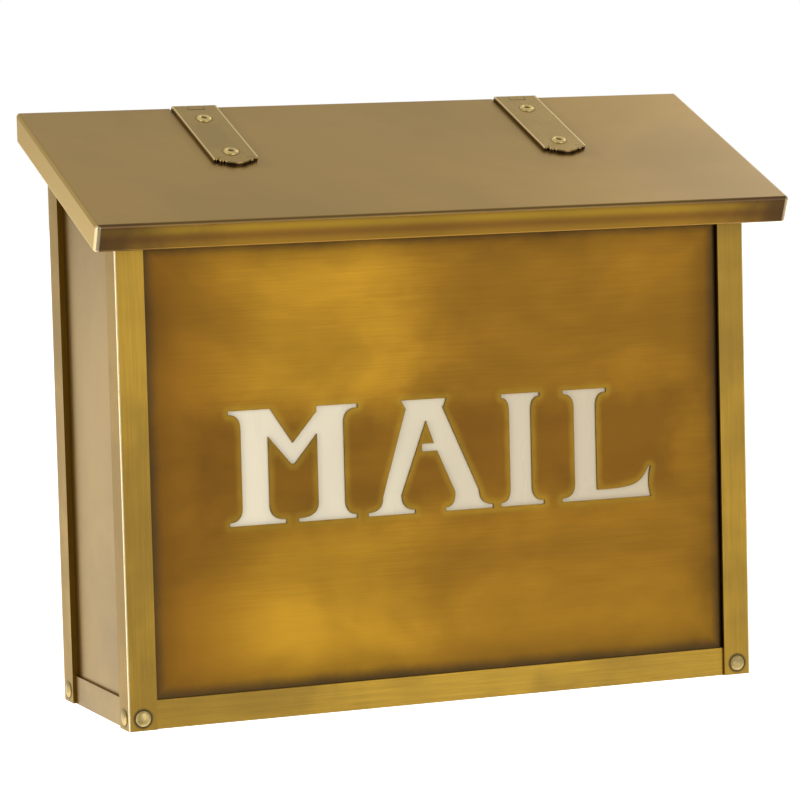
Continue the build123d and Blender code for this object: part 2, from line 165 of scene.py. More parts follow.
# ---- Shader building blocks ----


def connect(tree, node, inputs):
    """Set or link a node's inputs by name or number."""
    for key, value in inputs.items():
        if isinstance(value, bpy.types.NodeSocket):
            tree.links.new(value, node.inputs[key])
        else:
            node.inputs[key].default_value = value


def put(tree, kind, inputs=None, **settings):
    """Add a node with its options and inputs."""
    made = tree.nodes.new(kind)
    for name, value in settings.items():
        setattr(made, name, value)
    connect(tree, made, inputs or {})
    return made


def maths(tree, operation, *values, clamp=False):
    """A Math node's result."""
    made = put(tree, "ShaderNodeMath", dict(enumerate(values)), operation=operation)
    made.use_clamp = clamp
    return made.outputs[0]


def vector_maths(tree, operation, *values):
    """A Vector Math node's vector."""
    inputs = dict(enumerate(values))
    return put(tree, "ShaderNodeVectorMath", inputs, operation=operation).outputs[0]


def distance(tree, first, second):
    """How far apart two places are."""
    made = put(tree, "ShaderNodeVectorMath", {0: first, 1: second}, operation="DISTANCE")
    return made.outputs["Value"]


def axes(tree, vector):
    """A vector's three parts."""
    return put(tree, "ShaderNodeSeparateXYZ", {0: vector}).outputs


def noise(tree, vector, scale, detail, roughness, distortion=0.0):
    """A Noise Texture's value."""
    inputs = {
        "Vector": vector,
        "Scale": scale,
        "Detail": detail,
        "Roughness": roughness,
        "Distortion": distortion,
    }
    return put(tree, "ShaderNodeTexNoise", inputs).outputs[0]


def blend_colours(tree, factor, first, second):
    """A colour Mix node's result."""
    inputs = {0: factor, 6: first, 7: second}
    return put(tree, "ShaderNodeMix", inputs, data_type="RGBA").outputs[2]


def remap(tree, value, low, high, to_low=0.0, to_high=1.0, smooth=True):
    """A value moved from one range to another and held there."""
    made = put(
        tree,
        "ShaderNodeMapRange",
        {"Value": value, "From Min": low, "From Max": high, "To Min": to_low, "To Max": to_high},
    )
    if smooth:
        made.interpolation_type = "SMOOTHSTEP"
    return made.outputs["Result"]


def rgb(colour):
    """Four channels from a colour property."""
    return (*colour, 1.0)


def scaled(colour, factor):
    """A lighter or darker colour."""
    return tuple(factor * channel for channel in colour)


def new_group(name, inputs, outputs):
    """An empty shader node group with its sockets; returns its tree, inputs and output node."""
    tree = bpy.data.node_groups.new(name, "ShaderNodeTree")
    for label, kind, value in inputs:
        socket = tree.interface.new_socket(label, in_out="INPUT", socket_type=kind)
        socket.default_value = value
    for label in outputs:
        tree.interface.new_socket(label, in_out="OUTPUT", socket_type="NodeSocketFloat")
    return tree, put(tree, "NodeGroupInput").outputs, put(tree, "NodeGroupOutput")


VECTOR, VALUE = "NodeSocketVector", "NodeSocketFloat"


def brushing_group():
    """Fine scratches from brushing: long in the direction whose stretch is small."""
    tree, given, result = new_group(
        "Brushing",
        [("Vector", VECTOR, (0, 0, 0)), ("Stretch", VECTOR, (1, 1, 1))],
        ["Streaks", "Fine"],
    )
    place = vector_maths(tree, "MULTIPLY", given["Vector"], given["Stretch"])
    broad = noise(tree, place, 1.0, detail=4.0, roughness=0.62)
    fine = noise(tree, place, 4.3, detail=3.0, roughness=0.7)
    tree.links.new(remap(tree, broad, 0.28, 0.72), result.inputs["Streaks"])
    tree.links.new(fine, result.inputs["Fine"])
    return tree


def seam_group():
    """A mask that rises inside the edges of a box, for patina and painted shade; an unused axis
    gets a large half size.
    """
    tree, given, result = new_group(
        "Seam patina",
        [
            ("Vector", VECTOR, (0, 0, 0)),
            ("Centre", VECTOR, (0, 0, 0)),
            ("Half size", VECTOR, (1, 1, 1)),
            ("Reach", VALUE, 0.008),
            ("Ragged", VALUE, 0.004),
        ],
        ["Mask"],
    )
    away = vector_maths(tree, "SUBTRACT", given["Vector"], given["Centre"])
    away = vector_maths(tree, "ABSOLUTE", away)
    parts = axes(tree, vector_maths(tree, "SUBTRACT", given["Half size"], away))
    nearest = maths(tree, "MINIMUM", maths(tree, "MINIMUM", parts[0], parts[1]), parts[2])
    cloud = noise(tree, given["Vector"], 42.0, detail=5.0, roughness=0.6)
    shift = maths(tree, "MULTIPLY", maths(tree, "SUBTRACT", cloud, 0.5), given["Ragged"])
    share = maths(tree, "DIVIDE", maths(tree, "ADD", nearest, shift), given["Reach"])
    tree.links.new(remap(tree, share, 0.0, 1.0, 1.0, 0.0), result.inputs["Mask"])
    return tree


def clouds_group():
    """Soft mottling of an aged finish."""
    tree, given, result = new_group(
        "Clouds",
        [("Vector", VECTOR, (0, 0, 0)), ("Scale", VALUE, 12.0), ("Stretch", VECTOR, (1, 1, 1))],
        ["Mask"],
    )
    place = vector_maths(tree, "MULTIPLY", given["Vector"], given["Stretch"])
    cloud = noise(tree, place, given["Scale"], detail=5.0, roughness=0.55, distortion=0.4)
    tree.links.new(remap(tree, cloud, 0.32, 0.68), result.inputs["Mask"])
    return tree


def on_lid(point):
    """A point's Across, Up and Out, as the Lid place group gives them."""
    turn = Matrix.Rotation(-LID_SLOPE, 3, "X")
    return turn @ Vector(point) - turn @ Vector((0, LID_LOW.y, LID_TOP))


def lid_group():
    """A place measured across the lid, up its slope and out of it, from its top front edge."""
    labels = ("Across", "Up", "Out")
    tree, given, result = new_group("Lid place", [("Vector", VECTOR, (0, 0, 0))], labels)
    turn = {"Rotation": (-LID_SLOPE, 0, 0), "Location": on_lid((0, 0, 0))}
    mapping = put(tree, "ShaderNodeMapping", {"Vector": given["Vector"], **turn})
    for label, part in zip(labels, axes(tree, mapping.outputs[0])):
        tree.links.new(part, result.inputs[label])
    return tree


def strap_rivets_middle(side):
    """Halfway between a strap's two rivets, on the lid."""
    low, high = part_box(f"{side}_strap_rivets")
    return on_lid((low + high) / 2)


def from_strap(tree, place):
    """Distances from the middle line of the nearer strap, and from the nearest of its rivets."""
    left, right = strap_rivets_middle("left"), strap_rivets_middle("right")
    parts = lid_place(tree, place)
    aside = maths(tree, "SUBTRACT", parts["Across"], (left.x + right.x) / 2)
    aside = maths(tree, "SUBTRACT", maths(tree, "ABSOLUTE", aside), (right.x - left.x) / 2)
    along = maths(tree, "ABSOLUTE", maths(tree, "SUBTRACT", parts["Up"], left.y))
    along = maths(tree, "SUBTRACT", along, STRAP_RIVET_SPACING / 2)
    return maths(tree, "ABSOLUTE", aside), length_of(tree, aside, along)


def length_of(tree, first, second):
    """The long side of a right-angled triangle."""
    square = maths(tree, "MULTIPLY", second, second)
    return maths(tree, "SQRT", maths(tree, "MULTIPLY_ADD", first, first, square))


def group_node(tree, name, inputs):
    """Place a shared node group, built the first time that it is asked for."""
    makers = {
        "Brushing": brushing_group,
        "Seam patina": seam_group,
        "Clouds": clouds_group,
        "Lid place": lid_group,
    }
    made = tree.nodes.new("ShaderNodeGroup")
    made.node_tree = bpy.data.node_groups.get(name) or makers[name]()
    connect(tree, made, inputs)
    return made.outputs


def lid_place(tree, place):
    """A place's Across, Up and Out on the lid."""
    return group_node(tree, "Lid place", {"Vector": place})


def clouds_mask(tree, place, scale, stretch=(1.0, 1.0, 1.0)):
    """Soft mottling at a place."""
    inputs = {"Vector": place, "Scale": scale, "Stretch": stretch}
    return group_node(tree, "Clouds", inputs)["Mask"]


def seam_mask(tree, place, centre, half_size, reach, ragged):
    """Patina and painted shade inside the edges of a box, at a place."""
    inputs = {
        "Vector": place,
        "Centre": centre,
        "Half size": half_size,
        "Reach": reach,
        "Ragged": ragged,
    }
    return group_node(tree, "Seam patina", inputs)["Mask"]


def start_material(name):
    """A new node material: its tree, its Principled shader and its Object coordinates."""
    material = bpy.data.materials.new(name)
    material.use_nodes = True
    tree = material.node_tree
    shader = tree.nodes["Principled BSDF"]
    place = put(tree, "ShaderNodeTexCoord").outputs["Object"]
    return material, tree, shader, place


def aged_brass(
    name,
    bright,
    dark,
    stretch=(60.0, 60.0, 900.0),
    roughness=(0.30, 0.46),
    cloud_scale=14.0,
    cloud_stretch=(1.0, 1.0, 1.0),
    cloud_share=0.8,
    streak_share=0.35,
    grain=0.00004,
    lacquer=0.6,
    shading=(),
):
    """Brushed brass with cloudy ageing, and a mask maker, share and colour for each mark on it."""
    material, tree, shader, place = start_material(name)
    clouds = clouds_mask(tree, place, cloud_scale, cloud_stretch)
    brushing = group_node(tree, "Brushing", {"Vector": place, "Stretch": stretch})
    clouded = maths(tree, "MULTIPLY", clouds, cloud_share)
    colour = blend_colours(tree, clouded, rgb(bright), rgb(dark))
    streaked = maths(tree, "MULTIPLY", brushing["Streaks"], streak_share)
    colour = blend_colours(tree, streaked, colour, rgb(dark))
    for maker, share, tint in shading:
        mask = maths(tree, "MULTIPLY", maker(tree, place), share, clamp=True)
        colour = blend_colours(tree, mask, colour, rgb(tint))
    inputs = {"Height": brushing["Fine"], "Distance": grain, "Strength": 1.0}
    finish = {
        "Base Color": colour,
        "Roughness": remap(tree, clouds, 0.0, 1.0, *roughness, smooth=False),
        "Normal": put(tree, "ShaderNodeBump", inputs).outputs[0],
        "Metallic": 1.0,
        "Specular Tint": (1.0, 0.84, 0.52, 1.0),
        "Coat Weight": lacquer,
        "Coat Roughness": 0.28,
        "Coat IOR": 1.5,
    }
    connect(tree, shader, finish)
    return material


def wear(name, material):
    """Give a CAD node its finish."""
    mesh = NODES[name].data
    mesh.materials.clear()
    mesh.materials.append(material)


def piece_from(bm, name, body, stands_for, material):
    """Turn a bmesh into a finished piece on its body."""
    mesh = bpy.data.meshes.new(name)
    bm.to_mesh(mesh)
    bm.free()
    piece = bpy.data.objects.new(name, mesh)
    bpy.context.scene.collection.objects.link(piece)
    mesh.materials.append(material)
    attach(piece, body)
    if stands_for:
        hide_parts(*stands_for)
    return piece


def merged_copy(name):
    """A bmesh copy of a CAD node with its loose triangles joined."""
    bm = bmesh.new()
    bm.from_mesh(NODES[name].data)
    bmesh.ops.remove_doubles(bm, verts=bm.verts, dist=0.002 * MM)
    return bm


# ---- Operators ----


class MAILBOX_OT_stage(bpy.types.Operator):
    """Floor, studio light and camera"""

    bl_idname = "mailbox.stage"
    bl_label = "Stage"

    def execute(self, context):
        scene = context.scene
        scene.view_settings.view_transform = "Standard"
        half_floor, floor_middle = 15.0, (0, 14.0, -1.25)
        bm = bmesh.new()
        bmesh.ops.create_grid(bm, x_segments=1, y_segments=1, size=half_floor)
        bmesh.ops.translate(bm, verts=bm.verts, vec=floor_middle)
        mesh = bpy.data.meshes.new("studio_floor")
        bm.to_mesh(mesh)
        bm.free()
        floor = bpy.data.objects.new("studio_floor", mesh)
        scene.collection.objects.link(floor)
        material, tree, shader, _ = start_material("studio_floor")
        finish = {
            "Base Color": (0.9, 0.9, 0.9, 1),
            "Roughness": 0.9,
            "Emission Color": (1, 1, 1, 1),
            "Emission Strength": 0.9,
        }
        connect(tree, shader, finish)
        mesh.materials.append(material)
        self.light(scene)
        self.surroundings(scene)
        self.camera(scene, scene.mailbox_sizes.camera_lens)
        return {"FINISHED"}

    def light(self, scene):
        """Soft boxes, each facing the middle of the object."""
        target = Vector((0, -0.06, 0))
        boxes = [  # name, place, width, height and power
            ("right_box", (1.95, 1.4, 1.75), 1.2, 1.2, 7.0),
            ("left_box", (-2.2, 0.9, 0.4), 1.0, 1.8, 2.0),
            ("edge_box", (-2.2, -0.9, 0.1), 0.5, 1.8, 14.0),
            ("front_box", (0.9, -2.4, 0.15), 1.5, 2.2, 16.0),
        ]
        for name, place, width, height, power in boxes:
            data = bpy.data.lights.new(name, "AREA")
            data.shape = "RECTANGLE"
            data.size, data.size_y, data.energy = width, height, power
            lamp = bpy.data.objects.new(name, data)
            lamp.location = place
            lamp.rotation_euler = (target - Vector(place)).to_track_quat("-Z", "Y").to_euler()
            scene.collection.objects.link(lamp)

    def surroundings(self, scene):
        """White all round to the eye; what the metal reflects is darker in front and low down."""
        world = bpy.data.worlds.new("studio")
        world.use_nodes = True
        tree = world.node_tree
        background = tree.nodes["Background"]
        direction = put(tree, "ShaderNodeTexCoord").outputs["Generated"]
        parts = axes(tree, direction)
        behind = remap(tree, parts[1], -0.9, 0.8, 0.34, 0.58)
        high = remap(tree, parts[2], -0.1, 0.9, 0.0, 0.22)
        level = maths(tree, "ADD", behind, high)
        seen = put(tree, "ShaderNodeLightPath").outputs["Is Camera Ray"]
        level = maths(tree, "MAXIMUM", level, seen)
        tree.links.new(level, background.inputs["Strength"])
        background.inputs["Color"].default_value = (1, 1, 1, 1)
        scene.world = world

    def camera(self, scene, lens):
        """A long lens from the front left, a little above the letters."""
        place = (-0.75384, -1.91964, 0.179698)
        azimuth, fall, roll = 0.38378, 0.0927, -0.02518
        forward = Vector((sin(azimuth) * cos(fall), cos(azimuth) * cos(fall), -sin(fall)))
        level = forward.cross(Vector((0, 0, 1))).normalized()
        rise = level.cross(forward)
        right = level * cos(roll) + rise * sin(roll)
        up = rise * cos(roll) - level * sin(roll)
        turn = Matrix((right, up, -forward)).transposed().to_4x4()
        data = bpy.data.cameras.new("camera")
        data.lens = lens
        data.sensor_width = 36.0
        data.clip_end = 100.0
        camera = bpy.data.objects.new("camera", data)
        camera.matrix_world = Matrix.Translation(place) @ turn
        scene.collection.objects.link(camera)
        scene.camera = camera


class MAILBOX_OT_front(bpy.types.Operator):
    """Front sheet with its cut letters and the patina round them"""

    bl_idname = "mailbox.front"
    bl_label = "Front sheet"

    def execute(self, context):
        sizes = context.scene.mailbox_sizes
        colours = context.scene.mailbox_colours
        bm = merged_copy("front_panel")
        rim = self.letter_rim(bm)
        self.divide(bm, sizes.sheet_step)
        layer = bm.verts.layers.float.new("letter_distance")
        tree = kdtree.KDTree(len(rim))
        for i, point in enumerate(rim):
            tree.insert(point, i)
        tree.balance()
        for vert in bm.verts:
            vert[layer] = tree.find(vert.co)[2] / sizes.halo_reach
        foot, head = RAIL_TOP, LID_LOW.z + 1.5 * MM
        centre = (0.0, 0.0, (foot + head) / 2)
        half_size = (POST_INNER, 1.0, (head - foot) / 2)

        def across(low, high, first, last):
            """A share that changes across the sheet, with a wandering border."""

            def mask(tree, place):
                wander = clouds_mask(tree, place, 11.0)
                east = maths(tree, "MULTIPLY_ADD", wander, 12 * MM, axes(tree, place)[0])
                return remap(tree, east, low * MM, high * MM, first, last)

            return mask

        def low_band(tree, place):
            """The paler strip above the bottom rail."""
            rise = axes(tree, place)[2]
            return remap(tree, rise, RAIL_TOP + 12 * MM, RAIL_TOP + 62 * MM, 1.0, 0.0)

        def painted_reflection_band(tree, place):
            """A painted reflection: a brighter upright band left of the middle."""
            rise = across(-125, -76, 0.0, 1.0)(tree, place)
            return maths(tree, "MULTIPLY", rise, across(-60, 10, 1.0, 0.0)(tree, place))

        def letter_zone(tree, place):
            """The browner cloud that the letters stand in."""
            outside = seam_mask(
                tree,
                place,
                (0.0, 0.0, -32 * MM),
                (158 * MM, 1.0, 44 * MM),
                reach=30 * MM,
                ragged=26 * MM,
            )
            return maths(tree, "SUBTRACT", 1.0, outside)

        def near_letters(start, end):
            """A ring round each letter, in shares of the halo's reach."""

            def mask(tree, place):
                away = put(tree, "ShaderNodeAttribute", attribute_name="letter_distance")
                return remap(tree, away.outputs["Fac"], start, end, 1.0, 0.0)

            return mask

        def border(reach, ragged):
            """Patina and painted shade along the posts, the bottom rail and the lid."""

            def mask(tree, place):
                return seam_mask(tree, place, centre, half_size, reach * MM, ragged * MM)

            return mask

        gold, brown = colours.front_gold, colours.front_brown
        material = aged_brass(
            "front_brass",
            gold,
            brown,
            stretch=(30.0, 30.0, 1500.0),
            cloud_scale=9.0,
            cloud_stretch=(1.0, 1.0, 1.8),
            cloud_share=0.26,
            streak_share=0.4,
            lacquer=0.11,
            shading=[
                (low_band, 0.5, scaled(gold, 1.45)),
                # painted reflection of the brushed sheet: a bright upright band, darker to either
                # side
                (painted_reflection_band, 0.28, scaled(gold, 1.25)),
                (across(-155, -75, 1.0, 0.0), 0.85, brown),
                (across(-50, 35, 0.0, 1.0), 0.5, brown),
                (letter_zone, 0.85, scaled(brown, 0.74)),
                # patina and painted shade along the seams
                (border(24, 10), 0.55, scaled(brown, 0.5)),
                (near_letters(0.12, 0.5), 0.35, (0.34, 0.22, 0.02)),
                (near_letters(0.0, 0.09), 0.7, (0.13, 0.09, 0.02)),
                # the nearly black edge of the patina and painted shade along the seams
                (border(8, 4), 0.96, colours.patina),
            ],
        )
        piece = piece_from(bm, "front_sheet", "body", ["front_panel"], material)
        if not piece.data.polygons:
            raise RuntimeError("the front sheet came out empty")
        return {"FINISHED"}

    def letter_rim(self, bm):
        """Points along the edges of the cut letters."""
        low_z, high_z = FRONT_LOW.z + 90 * MM, FRONT_HIGH.z - 80 * MM
        spacing, sharp = 3 * MM, 0.6
        rim = []
        for edge in bm.edges:
            first, second = edge.verts[0].co, edge.verts[1].co
            middle = (first + second) / 2
            inside = low_z < middle.z < high_z and abs(middle.x) < 160 * MM
            if not inside or len(edge.link_faces) != 2 or edge.calc_face_angle(0) < sharp:
                continue
            steps = max(1, int((second - first).length / spacing))
            rim += [first.lerp(second, i / steps) for i in range(steps)]
        return rim

    def divide(self, bm, step):
        """Cut the sheet across and up at even steps so that the patina has points to sit on."""
        for axis, low, high in (
            (Vector((1, 0, 0)), FRONT_LOW.x, FRONT_HIGH.x),
            (Vector((0, 0, 1)), FRONT_LOW.z, FRONT_HIGH.z),
        ):
            count = int((high - low) / step)
            for i in range(1, count):
                point = axis * (low + (high - low) * i / count)
                geometry = bm.verts[:] + bm.edges[:] + bm.faces[:]
                bmesh.ops.bisect_plane(
                    bm, geom=geometry, dist=0.01 * MM, plane_co=point, plane_no=axis
                )


class MAILBOX_OT_frame(bpy.types.Operator):
    """Posts and rails"""

    bl_idname = "mailbox.frame"
    bl_label = "Frame"

    def execute(self, context):
        colours = context.scene.mailbox_colours
        dark = scaled(colours.frame_gold, 0.6)
        # taupe of the lit side panel, used as painted side light on the posts' side faces and the
        # other rails
        side = scaled(colours.side_taupe, 0.95)

        def corner(tree, place):
            """The outer corner of a front post, where a highlight is painted."""
            parts = axes(tree, place)
            aside = maths(tree, "SUBTRACT", BODY_WIDTH / 2, maths(tree, "ABSOLUTE", parts[0]))
            behind = maths(tree, "SUBTRACT", parts[1], POST_LOW.y)
            off = length_of(tree, aside, behind)
            return remap(tree, off, 0.6 * MM, 0.9 * MM, 1.0, 0.0)

        def rivet_rings(tree, place):
            """Dark rings round the lower rivets, on the front and on the sides."""
            parts = axes(tree, place)
            outward = {0: maths(tree, "ABSOLUTE", parts[0]), 1: parts[1], 2: parts[2]}
            folded = put(tree, "ShaderNodeCombineXYZ", outward).outputs[0]
            rise = POST_LOW.z + RIVET_RISE
            seats = (
                (BODY_WIDTH / 2 - RIVET_INSET, POST_LOW.y, rise),
                (BODY_WIDTH / 2, POST_LOW.y + RIVET_INSET, rise),
                (BODY_WIDTH / 2, -RIVET_INSET, rise),
            )
            offs = [distance(tree, folded, seat) for seat in seats]
            off = maths(tree, "MINIMUM", maths(tree, "MINIMUM", offs[0], offs[1]), offs[2])
            return remap(tree, off, RIVET_RADIUS + 0.3 * MM, RIVET_RADIUS + 2.0 * MM, 1.0, 0.0)

        def painted_side_light(tree, place):
            """The post's outer side, painted in the taupe that the lit side panel shows, as
            painted side light.
            """
            out = maths(tree, "ABSOLUTE", axes(tree, place)[0])
            return remap(tree, out, BODY_WIDTH / 2 - 0.3 * MM, BODY_WIDTH / 2 - 0.1 * MM)

        rings = (rivet_rings, 0.92, scaled(colours.frame_gold, 0.09))
        upright, level = (1300.0, 1300.0, 24.0), (24.0, 24.0, 1300.0)
        post = aged_brass(
            "frame_brass",
            colours.frame_gold,
            dark,
            stretch=upright,
            cloud_scale=16.0,
            cloud_share=0.3,
            streak_share=0.5,
            lacquer=0.35,
            # painted side light on the side face, and a painted highlight on the outer corner
            shading=[(painted_side_light, 0.9, side), rings, (corner, 0.9, PAINTED_HIGHLIGHT)],
        )
        front_rail = aged_brass(
            "rail_brass",
            scaled(colours.frame_gold, 1.12),
            dark,
            stretch=level,
            cloud_scale=16.0,
            cloud_share=0.3,
            streak_share=0.45,
            lacquer=0.35,
            shading=[rings],
        )
        # the rails other than the front one are painted in the lit side's taupe, as painted side
        # light
        side_light_rail = aged_brass(
            "side_rail_painted_light",
            side,
            scaled(side, 0.8),
            stretch=level,
            cloud_scale=16.0,
            cloud_share=0.3,
            shading=[rings],
        )
        for name in NODES:
            if name.endswith(("post", "strips")):
                wear(name, post)
            if name.endswith("rail"):
                wear(name, front_rail if name.startswith("front") else side_light_rail)
        return {"FINISHED"}


class MAILBOX_OT_sheets(bpy.types.Operator):
    """Side, floor and back sheets"""

    bl_idname = "mailbox.sheets"
    bl_label = "Side, floor and back sheets"

    def execute(self, context):
        colours = context.scene.mailbox_colours
        side = aged_brass(
            "side_brass",
            colours.side_taupe,
            scaled(colours.side_taupe, 0.75),
            stretch=(40.0, 40.0, 500.0),
            cloud_scale=8.0,
            cloud_share=0.5,
            streak_share=0.15,
            grain=0.00001,
        )
        for name in ("left_panel", "right_panel", "floor_panel", "back_plate"):
            wear(name, side)
        return {"FINISHED"}


class MAILBOX_OT_lid(bpy.types.Operator):
    """Lid"""

    bl_idname = "mailbox.lid"
    bl_label = "Lid"

    def execute(self, context):
        colours = context.scene.mailbox_colours

        def painted_flange_light(tree, place):
            """The outer faces of the side flanges, painted lighter as lit from the side."""
            out = maths(tree, "ABSOLUTE", lid_place(tree, place)["Across"])
            return remap(tree, out, LID_HIGH.x - 1.4 * MM, LID_HIGH.x - 0.3 * MM)

        def front_corner_highlight(tree, place):
            """The upright corner between the front and side flanges, where a highlight is painted.
            """
            parts = lid_place(tree, place)
            aside = maths(tree, "SUBTRACT", LID_HIGH.x, maths(tree, "ABSOLUTE", parts["Across"]))
            off = maths(tree, "ADD", aside, parts["Up"])
            return remap(tree, off, 1.5 * MM, 2.3 * MM, 1.0, 0.0)

        def strap_shadow(tree, place):
            """Painted shadow round the straps where they meet the lid."""
            parts = lid_place(tree, place)
            aside = []
            for box in STRAPS:
                middle = (box[0].x + box[1].x) / 2
                off = maths(tree, "ABSOLUTE", maths(tree, "SUBTRACT", parts["Across"], middle))
                aside.append(off)
            off = maths(tree, "MINIMUM", *aside)
            past = maths(tree, "SUBTRACT", STRAP_FOOT, parts["Up"])
            off = maths(tree, "MAXIMUM", maths(tree, "SUBTRACT", off, STRAP_WIDTH / 2), past)
            return remap(tree, off, 0.0, 9 * MM, 1.0, 0.0)

        def on_flange(tree, place):
            """The whole front flange, below its bend."""
            return remap(tree, lid_place(tree, place)["Up"], 0.5 * MM, 1.8 * MM, 1.0, 0.0)

        def painted_flange_band(low, peak, high):
            """A soft band of painted reflection along the front flange, in millimetres down from
            its bend.
            """

            def mask(tree, place):
                down = maths(tree, "MULTIPLY", lid_place(tree, place)["Out"], -1.0)
                rise = remap(tree, down, low * MM, peak * MM)
                fall = remap(tree, down, peak * MM, high * MM, 1.0, 0.0)
                band = maths(tree, "MULTIPLY", rise, fall)
                return maths(tree, "MULTIPLY", band, on_flange(tree, place))

            return mask

        def flange_ends(tree, place):
            """The darker ends of the front flange."""
            wander = clouds_mask(tree, place, 24.0)
            out = maths(tree, "ABSOLUTE", lid_place(tree, place)["Across"])
            out = maths(tree, "MULTIPLY_ADD", wander, 30 * MM, out)
            ends = remap(tree, out, 140 * MM, 215 * MM)
            return maths(tree, "MULTIPLY", ends, on_flange(tree, place))

        lid = aged_brass(
            "lid_brass",
            colours.lid_tan,
            scaled(colours.lid_tan, 0.7),
            stretch=(20.0, 200.0, 200.0),
            cloud_scale=5.0,
            cloud_share=0.5,
            streak_share=0.1,
            grain=0.000008,
            shading=[
                (strap_shadow, 0.35, scaled(colours.lid_tan, 0.55)),
                # painted reflection on the front flange: gold overall, a bright band under the
                # bend, a darker middle and a dark line at the bend
                (on_flange, 0.95, (0.42, 0.215, 0.012)),
                (painted_flange_band(1.0, 3.6, 7.5), 0.8, (0.52, 0.31, 0.018)),
                (painted_flange_band(4.5, 8.5, 12.5), 0.8, (0.27, 0.115, 0.008)),
                (painted_flange_band(-2.5, 0.6, 2.2), 0.8, (0.08, 0.05, 0.01)),
                (flange_ends, 0.95, (0.10, 0.043, 0.006)),
                (painted_flange_light, 0.9, (0.50, 0.335, 0.085)),
                (front_corner_highlight, 0.5, PAINTED_HIGHLIGHT),
            ],
        )
        wear("lid_shell", lid)
        return {"FINISHED"}


class MAILBOX_OT_hinges(bpy.types.Operator):
    """Straps, leaves and pins"""

    bl_idname = "mailbox.hinges"
    bl_label = "Strap hinges"

    def execute(self, context):
        colours = context.scene.mailbox_colours

        def strap_side_shade(tree, place):
            """The cut edge of the strap, in painted shade below its painted highlight along the
            top edge.
            """
            out = lid_place(tree, place)["Out"]
            return remap(tree, out, STRAP_TOP - 0.55 * MM, STRAP_TOP - 0.3 * MM, 1.0, 0.0)

        def strap_rim_highlight(tree, place):
            """The rounded rim of the strap's upper face, with a painted highlight."""
            out = lid_place(tree, place)["Out"]
            rise = remap(tree, out, STRAP_TOP - 0.42 * MM, STRAP_TOP - 0.3 * MM)
            fall = remap(tree, out, STRAP_TOP - 0.05 * MM, STRAP_TOP - 0.01 * MM, 1.0, 0.0)
            return maths(tree, "MULTIPLY", rise, fall)

        def long_edge_highlights(tree, place):
            """The strap's long edges, with a painted highlight."""
            aside = from_strap(tree, place)[0]
            return remap(tree, aside, STRAP_WIDTH / 2 - 1.0 * MM, STRAP_WIDTH / 2 - 0.6 * MM)

        def rivet_shadow_rings(tree, place):
            """Painted shadow rings round the strap's rivets."""
            off = from_strap(tree, place)[1]
            return remap(tree, off, 4.2 * MM, 5.6 * MM, 1.0, 0.0)

        bronze = aged_brass(
            "hinge_brass",
            colours.hinge_bronze,
            scaled(colours.hinge_bronze, 0.72),
            stretch=(400.0, 60.0, 60.0),
            cloud_scale=30.0,
            cloud_share=0.5,
            roughness=(0.24, 0.36),
            shading=[
                (rivet_shadow_rings, 0.8, (0.06, 0.036, 0.012)),
                (long_edge_highlights, 0.7, (0.85, 0.68, 0.38)),
                (strap_rim_highlight, 0.85, (0.95, 0.78, 0.46)),
                (strap_side_shade, 0.95, (0.03, 0.015, 0.005)),
            ],
        )
        for side in ("left", "right"):
            for part in ("leaf", "pin"):
                wear(f"{side}_hinge_{part}", bronze)
            node = f"{side}_hinge_strap"
            bm = merged_copy(node)
            self.ease_top_edges(bm)
            piece_from(bm, f"{side}_strap", "lid", [node], bronze)
        return {"FINISHED"}

    def ease_top_edges(self, bm):
        """Round the rim of the strap's upper face so that it catches the light."""
        bmesh.ops.dissolve_limit(
            bm, angle_limit=radians(0.4), verts=bm.verts, edges=bm.edges, delimit={"NORMAL"}
        )
        up = Vector((0, -sin(LID_SLOPE), cos(LID_SLOPE)))
        level = max(vert.co.dot(up) for vert in bm.verts)
        rim = [
            edge
            for edge in bm.edges
            if all(vert.co.dot(up) > level - 0.01 * MM for vert in edge.verts)
            and len(edge.link_faces) == 2
            and edge.calc_face_angle(0) > radians(40)
        ]
        if not rim:
            raise RuntimeError("the strap has no rim to round")
        bmesh.ops.bevel(
            bm,
            geom=rim,
            offset=0.38 * MM,
            offset_type="OFFSET",
            segments=3,
            profile=0.5,
            affect="EDGES",
            material=-1,
            clamp_overlap=True,
        )
        for face in bm.faces:
            face.smooth = abs(face.normal.dot(up)) < 0.995 and face.calc_area() < 2e-6


